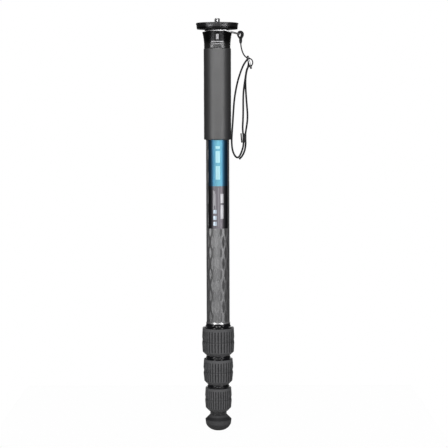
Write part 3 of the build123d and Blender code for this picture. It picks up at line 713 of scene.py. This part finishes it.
def printed_bars(tree, places, bars):
    """1 on each bar, given by its left and right in millimetres of arc and its two heights."""
    printed = 0.0
    for left, right, low, high in bars:
        across = within(tree, places.outputs["Arc"], left, right)
        up = within(tree, places.outputs["Height"], low, high)
        printed = maths(tree, "MAXIMUM", maths(tree, "MULTIPLY", across, up), printed)
    return printed


# its lower end is painted paler than its flare, as a painted highlight
silky_anodised = turned_metal(
    "silky_anodised", colour=flare_grey, worn=(0.16, 0.16, 0.16), roughness=0.23,
    lower_part=(lower_end_highlight_grey, flare_low_mm, flare_soft_mm),
)
tree = silky_anodised.node_tree
shader = tree.nodes["Principled BSDF"]
places = grouped(tree, pole_places)
collar_bars = printed_bars(tree, places, [
    (-1.8, 2.2, -25.6, -17.6), (-9.0, 9.5, -29.6, -28.2), (-6.0, 6.5, -33.0, -31.8),
])
ground = shader.inputs["Base Color"].links[0].from_socket
painted(tree, shader, collar_bars, dark=ground, light=print_pale)
tree.links.new(maths(tree, "SUBTRACT", 1.0, collar_bars), shader.inputs["Metallic"])
wear(nodes["top_collar"], silky_anodised)

# Strap ring. One steel wire, bent round the neck, polished and chromed. It turns in its groove
# and takes the strap with it.
polished_wire = turned_metal(
    "polished_wire", colour=(0.88, 0.88, 0.89), worn=(0.93, 0.93, 0.93), roughness=0.42,
    rings=0.05,
)
wear(nodes["strap_ring"], polished_wire)

# Stitched tab. The webbing's two ends are laid on each other under the ring, with the cord
# between them, and sewn through with thick thread in two rows.
tab_low, tab_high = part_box("strap_tab")
tab_middle = (tab_low + tab_high) / 2
tab_size = tab_high - tab_low
stitch_row_shares = (0.25, 0.75)
stitch_spread_share = 0.08
stitch_draw_share = 0.12
tab_foot_share, tab_taper_share = 0.72, 0.35
tab_yarn = 0.0006
bpy.ops.object.select_all(action="DESELECT")
bpy.ops.mesh.primitive_cube_add(size=1)
sewn_tab = bpy.context.object
sewn_tab.name = "sewn_tab"
bpy.ops.transform.resize(value=tab_size)
bpy.ops.transform.translate(value=tab_middle)
bpy.ops.object.transform_apply(location=True, rotation=True, scale=True)
bpy.ops.object.mode_set(mode="EDIT")
bpy.ops.mesh.select_all(action="SELECT")
bpy.ops.mesh.subdivide(number_cuts=7)
bpy.ops.object.mode_set(mode="OBJECT")
for vertex in sewn_tab.data.vertices:
    up = (vertex.co.z - tab_low.z) / tab_size.z
    # drawn in by the two rows of stitches, and narrower where the cord leaves it
    drawn = 1.0
    for row in stitch_row_shares:
        drawn -= stitch_draw_share * math.exp(-((up - row) / stitch_spread_share) ** 2)
    drawn *= tab_foot_share + (1 - tab_foot_share) * min(1, up / tab_taper_share)
    vertex.co.x = tab_middle.x + (vertex.co.x - tab_middle.x) * drawn
    vertex.co.y = tab_middle.y + (vertex.co.y - tab_middle.y) * drawn
picked(sewn_tab)
rounding = sewn_tab.modifiers.new("rounding", "SUBSURF")
rounding.levels = rounding.render_levels = 1
bpy.ops.object.modifier_apply(modifier=rounding.name)
closed_shell(sewn_tab, angle=60)
tab_cloth, tree, shader = new_material("tab_cloth", roughness=0.82, specular=0.25)
place = place_parts(tree)
cloth = interlaced(tree, waved(tree, place["X"], tab_yarn), waved(tree, place["Z"], tab_yarn))
painted(tree, shader, cloth, dark=(0.006, 0.006, 0.007), light=(0.022, 0.022, 0.024))
bumped(tree, shader, cloth, distance=0.00012, strength=0.5)
wear(sewn_tab, tab_cloth)
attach(sewn_tab, strap_body)
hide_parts("strap_tab")

# Link. A short steel bar with a black ball pressed on each end. The wrist loop's webbing is
# wound round it in three turns at each end, which the balls keep from slipping off.
link_top, link_end = Vector((0.0469, 0, -0.0515)), Vector((0.0518, 0, -0.0686))
link_way = (link_end - link_top).normalized()
link_turn = link_way.to_track_quat("Z", "Y").to_euler()
link_ball_reach = 0.0017
winding_reach, winding_thick = 0.00195, 0.00065
winding_count, winding_pitch, winding_clear = 3, 0.0007, 0.0006
first_winding = link_ball_reach + winding_clear
last_winding = (link_end - link_top).length - first_winding
winding_starts = (first_winding, last_winding - (winding_count - 1) * winding_pitch)
windings = []
for start in winding_starts:
    for k in range(winding_count):
        bpy.ops.object.select_all(action="DESELECT")
        place = link_top + link_way * (start + k * winding_pitch)
        bpy.ops.mesh.primitive_torus_add(
            location=place, rotation=link_turn, major_segments=36, minor_segments=12,
            major_radius=winding_reach, minor_radius=winding_thick,
        )
        winding = bpy.context.object
        bpy.ops.object.transform_apply(location=True, rotation=True, scale=True)
        windings.append(winding)
bar_windings = joined(windings)
bar_windings.name = "bar_windings"
bpy.ops.object.shade_smooth_by_angle(angle=math.radians(60))
wear(bar_windings, tab_cloth)
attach(bar_windings, strap_body)
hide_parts("link_wraps")
bar_steel = turned_metal(
    "bar_steel", colour=(0.52, 0.52, 0.53), worn=(0.62, 0.62, 0.62), roughness=0.4, rings=0.05
)
wear(nodes["link_bar"], bar_steel)


def moulded_plastic(name, colour, roughness, specular):
    """Injection-moulded plastic with a faint grain, a little paler where its edges are rubbed."""
    worn_gain, worn_lift = 1.6, 0.01
    material, tree, shader = new_material(name, roughness, specular=specular)
    spots = grain_of(tree, scale=700.0, detail=4.0)
    edges = grouped(tree, worn_edges, Width=0.00025)
    worn = tuple(part * worn_gain + worn_lift for part in colour)
    painted(tree, shader, edges.outputs["Mask"], dark=colour, light=worn)
    patchy(tree, shader, spots, spread=0.2)
    bumped(tree, shader, spots, distance=0.00003, strength=0.6)
    return material


ball_plastic = moulded_plastic(
    "ball_plastic", colour=(0.006, 0.006, 0.007), roughness=0.4, specular=0.2
)
wear(nodes["link_balls"], ball_plastic)

# Slider. A moulded plastic body that the strands run through, with a sprung lever on its left
# side that pinches them, so that the wrist loop keeps its size.
slider_plastic = moulded_plastic(
    "slider_plastic", colour=(0.014, 0.014, 0.015), roughness=0.6, specular=0.2
)
lever_plastic = moulded_plastic(
    "lever_plastic", colour=(0.006, 0.006, 0.007), roughness=0.6, specular=0.15
)
wear(nodes["slider_body"], slider_plastic)
wear(nodes["slider_lever"], lever_plastic)

# Foam grip. A tube of closed-cell foam rubber, ground to size and pulled over the first tube
# against the collar. Its skin is fine and velvety, and its ends are rounded.


def blended(tree, first, share, second):
    """A share of the first value, and the rest of the second."""
    rest = maths(tree, "MULTIPLY", second, 1 - share)
    return maths(tree, "MULTIPLY_ADD", first, share, rest)


foam_low, foam_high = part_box("foam_grip")
foam_reach = foam_high.x
foam_wall = 0.0031
foam_rounding = 0.0016
foam_rings = 48
level_within, skin_within = 1e-6, 1e-5
bpy.ops.object.select_all(action="DESELECT")
bpy.ops.mesh.primitive_cylinder_add(
    vertices=128, radius=foam_reach, depth=foam_high.z - foam_low.z,
    location=(0, 0, (foam_low.z + foam_high.z) / 2), end_fill_type="NGON",
)
foam_sleeve = bpy.context.object
foam_sleeve.name = "foam_sleeve"
bpy.ops.object.transform_apply(location=True)
bpy.ops.object.mode_set(mode="EDIT")
bpy.ops.mesh.select_mode(type="FACE")
bpy.ops.mesh.select_all(action="DESELECT")
bpy.ops.object.mode_set(mode="OBJECT")
for polygon in foam_sleeve.data.polygons:
    polygon.select = abs(polygon.normal.z) > 0.5
bpy.ops.object.mode_set(mode="EDIT")
bpy.ops.mesh.inset(thickness=foam_wall, use_boundary=True)
bpy.ops.mesh.bridge_edge_loops()
bpy.ops.mesh.select_all(action="DESELECT")
bpy.ops.mesh.select_mode(type="EDGE")
bpy.ops.object.mode_set(mode="OBJECT")
for edge in foam_sleeve.data.edges:
    ends = [foam_sleeve.data.vertices[v].co for v in edge.vertices]
    edge.select = abs(ends[0].z - ends[1].z) < level_within and all(
        math.hypot(end.x, end.y) > foam_reach - skin_within for end in ends
    )
bpy.ops.object.mode_set(mode="EDIT")
bpy.ops.mesh.bevel(offset=foam_rounding, segments=5, profile=0.5)
for k in range(1, foam_rings):
    height = foam_low.z + (foam_high.z - foam_low.z) * k / foam_rings
    bpy.ops.mesh.select_all(action="SELECT")
    bpy.ops.mesh.bisect(plane_co=(0, 0, height), plane_no=(0, 0, 1))
bpy.ops.object.mode_set(mode="OBJECT")
uneven = bpy.data.textures.new("uneven_grinding", "CLOUDS")
uneven.noise_scale = 0.02
swell = foam_sleeve.modifiers.new("uneven", "DISPLACE")
swell.texture = uneven
swell.texture_coords = "GLOBAL"
swell.strength = 0.0003
swell.mid_level = 1.0
bpy.ops.object.modifier_apply(modifier=swell.name)
closed_shell(foam_sleeve, angle=50)
cell_height = 0.6
foam_rubber, tree, shader = new_material("foam_rubber", roughness=0.46, specular=1.0)
shader.inputs["IOR"].default_value = 1.62
where = tree.nodes.new("ShaderNodeTexCoord")
cells = placed(tree, "ShaderNodeTexVoronoi", Vector=where.outputs["Object"], Scale=1300.0)
pores = grain_of(tree, scale=500.0, detail=5.0)
rubbed = grain_of(tree, scale=45.0, detail=3.0)
tone = blended(tree, rubbed, 0.5, pores)
painted(tree, shader, tone, dark=(0.008, 0.008, 0.009), light=(0.024, 0.024, 0.025))
patchy(tree, shader, pores, spread=0.16)
skin = maths(tree, "MULTIPLY_ADD", cells.outputs[0], cell_height, pores)
bumped(tree, shader, skin, distance=0.00006, strength=0.5)
wear(foam_sleeve, foam_rubber)
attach(foam_sleeve, "upper_leg")
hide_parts("foam_grip")

# Carbon tubes. Rolled from woven carbon cloth and resin and ground to size. The cloth shows a
# lattice of long eyes, whose fibres lie at a slant and catch the light on one side of the pole.
eye_height_mm = 16.85
eye_edge_from, eye_edge_to = 0.28, 0.40
eye_tilt, ground_tilt = 0.46, -0.16
fibres_per_mm, fibres_up_mm = 3.2, 0.16
low_end_from_mm, low_end_to_mm = -270.0, -455.0
# how much darker the lower end is painted, as painted shade, and how much smoother its cloth is
# there
low_end_painted_shade, low_end_evenness = 0.36, 0.45


def lattice_eyes(tree, places, columns):
    """1 inside the long eyes of the cloth, with that number of columns round the tube."""
    column = maths(tree, "MULTIPLY", places.outputs["Turn"], columns / 360)
    row = maths(tree, "MULTIPLY", places.outputs["Height"], 1 / eye_height_mm)
    rising = maths(tree, "MULTIPLY", maths(tree, "ADD", column, row), 0.5)
    falling = maths(tree, "MULTIPLY", maths(tree, "SUBTRACT", column, row), 0.5)
    u = maths(tree, "SUBTRACT", rising, maths(tree, "ROUND", rising))
    v = maths(tree, "SUBTRACT", falling, maths(tree, "ROUND", falling))
    squares = maths(tree, "ADD", maths(tree, "MULTIPLY", u, u), maths(tree, "MULTIPLY", v, v))
    corner = maths(tree, "MAXIMUM", maths(tree, "ABSOLUTE", u), maths(tree, "ABSOLUTE", v))
    # halfway between a round eye and a diamond
    apart = blended(tree, maths(tree, "SQRT", squares), 0.5, corner)
    return maths(tree, "SUBTRACT", 1.0, stepped(tree, apart, eye_edge_from, eye_edge_to))


def fibre_streaks(tree, places, eye):
    """Long streaks down the tube on the ground, and finer ones of their own in the eyes."""
    finer, other_streaks = 0.35, 7.0
    side = maths(tree, "MULTIPLY_ADD", eye, finer, 1.0)
    across = maths(tree, "MULTIPLY", places.outputs["Arc"], side)
    fibre = placed(
        tree, "ShaderNodeCombineXYZ",
        X=maths(tree, "MULTIPLY", across, fibres_per_mm),
        Y=maths(tree, "MULTIPLY", places.outputs["Height"], fibres_up_mm),
        Z=maths(tree, "MULTIPLY", eye, other_streaks),
    )
    streak = placed(tree, "ShaderNodeTexNoise", Vector=fibre.outputs[0], Scale=1.0, Detail=5.0)
    return streak.outputs[0]


def tilted_normal(tree, tilt):
    """The surface's normal, leaned round the tube by the tilt."""
    straight = tree.nodes.new("ShaderNodeNewGeometry").outputs["Normal"]
    round_way = vector_maths(tree, "CROSS_PRODUCT", (0, 0, 1), straight)
    lean = vector_maths(tree, "SCALE", round_way.outputs[0])
    tree.links.new(tilt, lean.inputs["Scale"])
    leaned = vector_maths(tree, "ADD", straight, lean.outputs[0])
    return vector_maths(tree, "NORMALIZE", leaned.outputs[0]).outputs[0]


def carbon_cloth(name, columns):
    """Resin and woven carbon, with the lattice's number of columns round the tube."""
    streak_from, streak_to = 0.25, 0.75
    material, tree, shader = new_material(name, roughness=0.44, metallic=0.75)
    places = grouped(tree, pole_places)
    eye = lattice_eyes(tree, places, columns)
    streak = fibre_streaks(tree, places, eye)
    shade = stepped(tree, streak, streak_from, streak_to)
    # towards its lower end the cloth is smoother, and it is painted a little darker there as
    # painted shade
    low = stepped(tree, places.outputs["Height"], low_end_from_mm, low_end_to_mm)
    cloth = toned(tree, shade, (0.14, 0.14, 0.143), (0.34, 0.34, 0.345))
    painted_low_shade = maths(tree, "MULTIPLY", low, low_end_painted_shade)
    painted(tree, shader, painted_low_shade, cloth, (0.06, 0.06, 0.061))
    patchy(tree, shader, shade, spread=0.12)
    # the eyes' surface is tilted a little round the tube, and the ground's the other way
    tilt = maths(tree, "MULTIPLY_ADD", eye, eye_tilt - ground_tilt, ground_tilt)
    even = maths(tree, "MULTIPLY_ADD", low, -low_end_evenness, 1.0)
    leaned = tilted_normal(tree, maths(tree, "MULTIPLY", tilt, even))
    bumped(tree, shader, streak, distance=0.00005, strength=0.4, normal=leaned)
    return material


for name, columns in (("tube_1", 26), ("tube_2", 22), ("tube_3", 20), ("tube_4", 16)):
    wear(nodes[name], carbon_cloth(f"carbon_cloth_{name}", columns))

# Labels. Two metallised plastic films, printed and glued round the front of the first tube: a
# blue one and below it a dark one. Plain bars and squares stand where their printing was.
# the films' paler middle is a painted highlight round this turn, and their darker sides are painted
# shade
highlight_turn, highlight_wide_turn = 2.5, 28.0
shade_from_turn, shade_to_turn = 26.0, 42.0
print_cover = 0.9


def label_film(name, highlight_colour, ground, edge, roughness, prints):
    """Metallised film, painted light in its middle as a painted highlight and dark at its two
    sides as painted shade. Each print is a list of bars and its colour."""
    material, tree, shader = new_material(name, roughness, metallic=0.85)
    places = grouped(tree, pole_places)
    turn = maths(tree, "SUBTRACT", places.outputs["Turn"], highlight_turn)
    aside = maths(tree, "ABSOLUTE", turn)
    # the middle is painted paler as a painted highlight, and the sides darker as painted shade
    colour = toned(tree, stepped(tree, aside, 0.0, highlight_wide_turn), highlight_colour, ground)
    colour = toned(tree, stepped(tree, aside, shade_from_turn, shade_to_turn), colour, edge)
    for bars, print_colour in prints:
        cover = maths(tree, "MULTIPLY", printed_bars(tree, places, bars), print_cover)
        colour = toned(tree, cover, colour, print_colour)
    tree.links.new(colour, shader.inputs["Base Color"])
    flakes = grain_of(tree, scale=900.0, detail=3.0)
    patchy(tree, shader, flakes, spread=0.1)
    bumped(tree, shader, flakes, distance=0.00001, strength=0.3)
    return material


upper_bars = [
    (-3.0, 3.6, -240.0, -219.0), (-3.0, 3.6, -214.0, -196.0), (-3.0, 3.6, -192.5, -188.5),
]
blue_film = label_film(
    "blue_film", highlight_colour=(0.21, 0.56, 0.72), ground=(0.040, 0.145, 0.250),
    edge=(0.014, 0.045, 0.095), roughness=0.38, prints=[(upper_bars, (0.55, 0.88, 0.95))],
)
wear(nodes["label_upper"], blue_film)
lower_lines = [
    (0.9, 1.5, -313.0, -252.5),
    (-7.4, -6.7, -286.0, -256.5), (-5.2, -4.3, -280.0, -258.0), (-3.6, -2.9, -288.0, -262.0),
    (4.3, 9.4, -276.0, -262.0), (4.3, 9.4, -300.5, -279.5),
]
lower_squares = [
    (-7.0, -1.4, -292.5, -286.8), (-7.0, -1.4, -302.0, -296.2), (-7.0, -1.4, -311.2, -305.2),
]
dark_film = label_film(
    "dark_film", highlight_colour=(0.26, 0.24, 0.27), ground=(0.080, 0.074, 0.083),
    edge=(0.018, 0.018, 0.022), roughness=0.36,
    prints=[(lower_lines, (0.46, 0.46, 0.48)), (lower_squares, (0.50, 0.58, 0.66))],
)
wear(nodes["label_lower"], dark_film)

# Twist lock sleeves. Turned from aluminium, anodised glossy black and glued round each tube's
# end. A polished ring lies on top of the first one.
gloss_black = turned_metal(
    "gloss_black_anodised", colour=(0.004, 0.004, 0.005), worn=(0.02, 0.02, 0.02),
    roughness=0.15, metallic=0.0, specular=0.3, rings=0.06,
)
for name in ("lock_1_sleeve", "lock_2_sleeve", "lock_3_sleeve"):
    wear(nodes[name], gloss_black)
polished_trim = turned_metal(
    "polished_trim", colour=(0.66, 0.66, 0.67), worn=(0.8, 0.8, 0.8), roughness=0.32, rings=0.05
)
wear(nodes["lock_1_trim"], polished_trim)

# Twist lock nuts and their grips. Each nut is turned from aluminium, and a grip of black rubber
# is moulded round it, with a row of short grooves in each of its two bands.
for name in ("lock_1_nut", "lock_2_nut", "lock_3_nut"):
    wear(nodes[name], black_anodised)
groove_count = 32
flank_from, flank_to = 0.1, 0.9
rows_from_share, rows_to_share = 0.10, 0.86
waist_from_share, waist_to_share = 0.465, 0.505
waist_soft_mm = 0.5
groove_shade, waist_shade = 0.92, 0.45


def grooved_rubber(name, top, bottom):
    """Moulded rubber between two heights in millimetres, darker where its grooves keep shade."""
    patch_share = 0.6
    tall = top - bottom
    material, tree, shader = new_material(name, roughness=0.6, specular=0.15)
    places = grouped(tree, pole_places)
    height = places.outputs["Height"]
    turn = maths(tree, "MULTIPLY", places.outputs["Turn"], math.radians(groove_count))
    flanks = stepped(tree, maths(tree, "COSINE", turn), flank_from, flank_to)
    rows = within(tree, height, top - rows_to_share * tall, top - rows_from_share * tall)
    grooves = maths(tree, "MULTIPLY", flanks, rows)
    # the waist between the two rows is in shade too
    waist = within(
        tree, height, top - waist_to_share * tall, top - waist_from_share * tall, waist_soft_mm
    )
    hollows = maths(tree, "MAXIMUM", grooves, maths(tree, "MULTIPLY", waist, waist_shade))
    grain = grain_of(tree, scale=1400.0, detail=4.0)
    tone = blended(tree, grain_of(tree, scale=60.0, detail=4.0), patch_share, grain)
    ground = toned(tree, tone, (0.059, 0.059, 0.061), (0.103, 0.103, 0.106))
    shade = maths(tree, "MULTIPLY", hollows, groove_shade)
    painted(tree, shader, shade, ground, (0.004, 0.004, 0.005))
    patchy(tree, shader, grain, spread=0.2)
    bumped(tree, shader, grain, distance=0.00006, strength=0.5)
    return material


for name in ("lock_1_grip", "lock_2_grip", "lock_3_grip"):
    grip_low, grip_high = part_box(name)
    grip_rubber = grooved_rubber(
        f"rubber_{name}", top=grip_high.z * millimetres, bottom=grip_low.z * millimetres
    )
    wear(nodes[name], grip_rubber)

# Inside the locks. Split collets of slippery plastic grip the tubes, felt wipers keep the dust
# out, and half shells of the same plastic, pegged to each tube's end, guide it in the next.
collet_plastic = moulded_plastic(
    "collet_plastic", colour=(0.045, 0.045, 0.047), roughness=0.45, specular=0.4
)
grey_felt, tree, shader = new_material("grey_felt", roughness=0.95, specular=0.1)
shader.inputs["Sheen Weight"].default_value = 0.3
hairs = grain_of(tree, scale=2200.0, detail=6.0)
painted(tree, shader, hairs, dark=(0.05, 0.05, 0.05), light=(0.16, 0.16, 0.16))
bumped(tree, shader, hairs, distance=0.00015, strength=0.8)
for k in (1, 2, 3):
    wear(nodes[f"lock_{k}_collet"], collet_plastic)
    wear(nodes[f"lock_{k}_wiper"], grey_felt)
    wear(nodes[f"shims_{k + 1}"], collet_plastic)

# Foot. A turned aluminium plug is glued in the last tube. A steel stud joins it to a brass
# insert, round which the black rubber foot is moulded.
wear(nodes["foot_plug"], black_anodised)
wear(nodes["foot_stud"], bright_steel)
turned_brass = turned_metal(
    "turned_brass", colour=(0.55, 0.38, 0.16), worn=(0.7, 0.52, 0.25), roughness=0.3, rings=0.15
)
wear(nodes["foot_insert"], turned_brass)
tip_mm = foot_low.z * millimetres
hollow_low_mm, hollow_high_mm, hollow_soft_mm = tip_mm + 17.4, tip_mm + 21.8, 1.0
dome_from_mm, dome_to_mm = tip_mm + 12.2, tip_mm + 9.2
worn_from_mm, worn_to_mm = tip_mm + 13.2, tip_mm + 1.2
scuff_from, scuff_to = 0.45, 0.7
hollow_shade, dome_shade = 0.8, 0.4
dust_cover = 0.5
foot_rubber, tree, shader = new_material("foot_rubber", roughness=0.7, specular=0.3)
height = grouped(tree, pole_places).outputs["Height"]
# painted shade: the hollow of its shoulder is in shade, and its dome is painted a little darker
# than its side
hollow = within(tree, height, hollow_low_mm, hollow_high_mm, hollow_soft_mm)
hollow = maths(tree, "MULTIPLY", hollow, hollow_shade)
dome = maths(tree, "MULTIPLY", stepped(tree, height, dome_from_mm, dome_to_mm), dome_shade)
grain = grain_of(tree, scale=1100.0, detail=4.0)
ground = toned(tree, grain, (0.034, 0.034, 0.036), (0.056, 0.056, 0.058))
ground = toned(tree, maths(tree, "MAXIMUM", hollow, dome), ground, (0.008, 0.008, 0.009))
# dust clings to the scuffs of its worn end
scuffs = stepped(tree, grain_of(tree, scale=130.0, detail=6.0), scuff_from, scuff_to)
dusty = maths(tree, "MULTIPLY", scuffs, stepped(tree, height, worn_from_mm, worn_to_mm))
dust = maths(tree, "MULTIPLY", dusty, dust_cover)
painted(tree, shader, dust, ground, (0.045, 0.044, 0.042))
bumped(tree, shader, grain, distance=0.00008, strength=0.6)
wear(nodes["rubber_foot"], foot_rubber)
